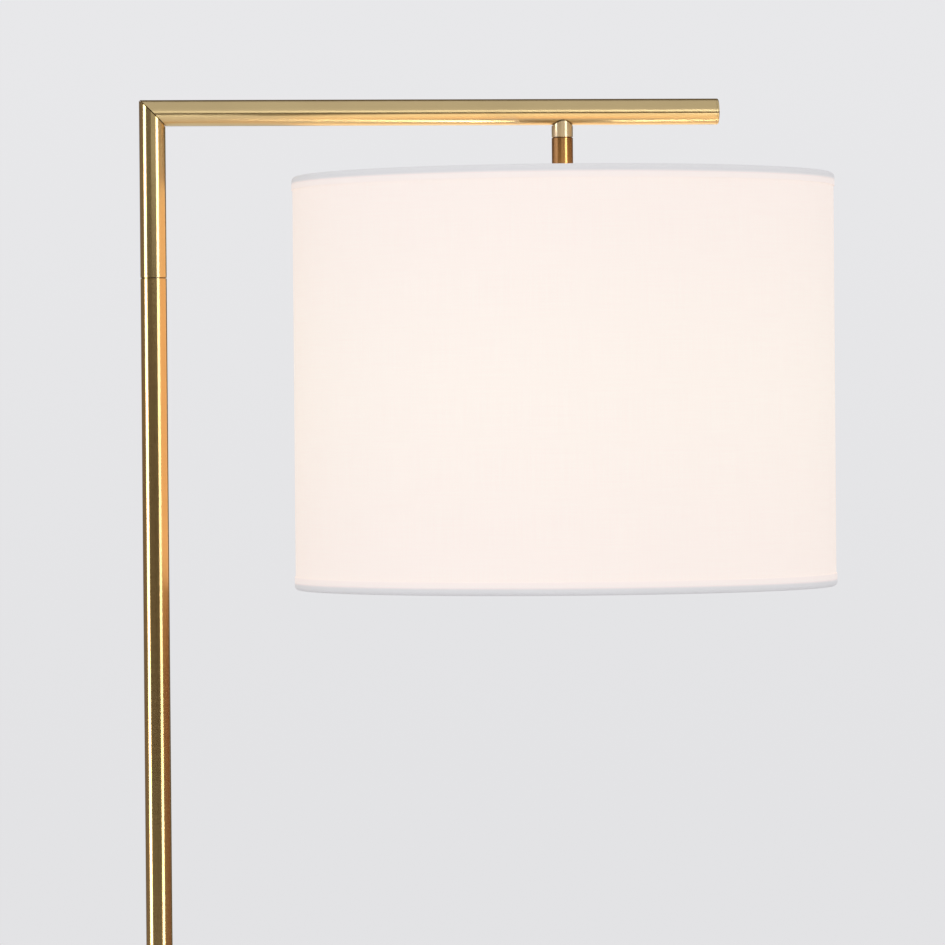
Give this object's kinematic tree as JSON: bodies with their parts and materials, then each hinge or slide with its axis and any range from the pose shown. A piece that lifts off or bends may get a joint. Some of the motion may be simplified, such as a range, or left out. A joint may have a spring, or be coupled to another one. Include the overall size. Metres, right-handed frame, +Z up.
{
  "type": "floor lamp",
  "caption": "Floor lamp with a round weighted base, a screwed brass tube post, a mitred horizontal arm and a white drum shade hung from it on a short stem.",
  "frame": {"origin": "centre of the base's foot pad, on the floor, on the post's axis", "axes": "+Z up along the post, +X along the arm towards the shade, -Y towards the front and the knob"},
  "size_m": [0.545, 0.333, 1.4805],
  "materials": {
    "satin_brass": "satin antique brass plating, lacquered",
    "plain_brass": "bright rolled brass",
    "zinc_steel": "zinc plated, turned",
    "cast_iron": "as cast, black dip",
    "foot_pad": "closed-cell foam sheet",
    "black_moulding": "moulded, fine satin",
    "white_moulding": "moulded, matt",
    "lead_sheath": "smooth extruded sheath",
    "shade_cloth": "plain-weave linen on a translucent liner",
    "trim_cloth": "self trim, folded over the wire",
    "white_wire": "white powder coat",
    "bulb_metal": "rolled screw cap",
    "bulb_solder": "solder",
    "bulb_vitrite": "black insulator",
    "bulb_globe": "frosted, lit warm from inside"
  },
  "bodies": {
    "lamp": {"base_cover": "satin_brass", "post_collar": "satin_brass", "post_section_1": "satin_brass", "post_section_2": "satin_brass", "post_section_3": "satin_brass", "corner_leg": "satin_brass", "arm_tube": "satin_brass", "arm_end_cap": "satin_brass", "hang_stub": "satin_brass", "hang_tube": "satin_brass", "holder_cap": "satin_brass", "holder_screw_shell": "plain_brass", "holder_contact": "plain_brass", "base_washer": "zinc_steel", "base_locknut": "zinc_steel", "base_nipple": "zinc_steel", "post_stud_1": "zinc_steel", "post_stud_2": "zinc_steel", "post_stud_3": "zinc_steel", "post_socket_1": "zinc_steel", "post_socket_2": "zinc_steel", "post_socket_3": "zinc_steel", "post_socket_4": "zinc_steel", "hang_bush": "zinc_steel", "hang_nipple": "zinc_steel", "holder_locknut": "zinc_steel", "base_weight": "cast_iron", "base_pad": "foot_pad", "cord_gland": "black_moulding", "holder_body": "black_moulding", "holder_skirt": "black_moulding", "shade_ring": "black_moulding", "lead_connector": "white_moulding", "inner_lead": "lead_sheath"},
    "shade": {"shade_drum": "shade_cloth", "shade_trim_top": "trim_cloth", "shade_trim_bottom": "trim_cloth", "shade_wire_top": "white_wire", "shade_wire_bottom": "white_wire", "shade_fitter": "white_wire", "shade_spoke_1": "white_wire", "shade_spoke_2": "white_wire", "shade_spoke_3": "white_wire"},
    "switch_knob": {"switch_knob": "black_moulding", "switch_shaft": "plain_brass"},
    "bulb_foot": {"bulb_contact": "bulb_solder", "bulb_insulator": "bulb_vitrite"},
    "bulb": {"bulb_cap": "bulb_metal", "bulb_collar": "bulb_globe", "bulb_globe": "bulb_globe"}
  },
  "joints": [
    {"name": "shade_turn", "type": "hinge", "parent": "lamp", "child": "shade", "pos_m": [0.2515, 0, 1.3893], "axis": [0, 0, 1], "continuous": true},
    {"name": "switch_turn", "type": "hinge", "parent": "lamp", "child": "switch_knob", "pos_m": [0.2515, 0, 1.4018], "axis": [0, -1, 0], "continuous": true},
    {"name": "bulb_travel", "type": "slide", "parent": "lamp", "child": "bulb_foot", "axis": [0, 0, -1], "range_m": [0, 0.01816]},
    {"name": "bulb_turn", "type": "hinge", "parent": "bulb_foot", "child": "bulb", "pos_m": [0.2515, 0, 1.3893], "axis": [0, 0, -1], "range_deg": [0, 1800]}
  ],
  "couplings": [
    {"joint": "bulb_travel", "follows": "bulb_turn", "m_per_rad": 0.00057757}
  ]
}
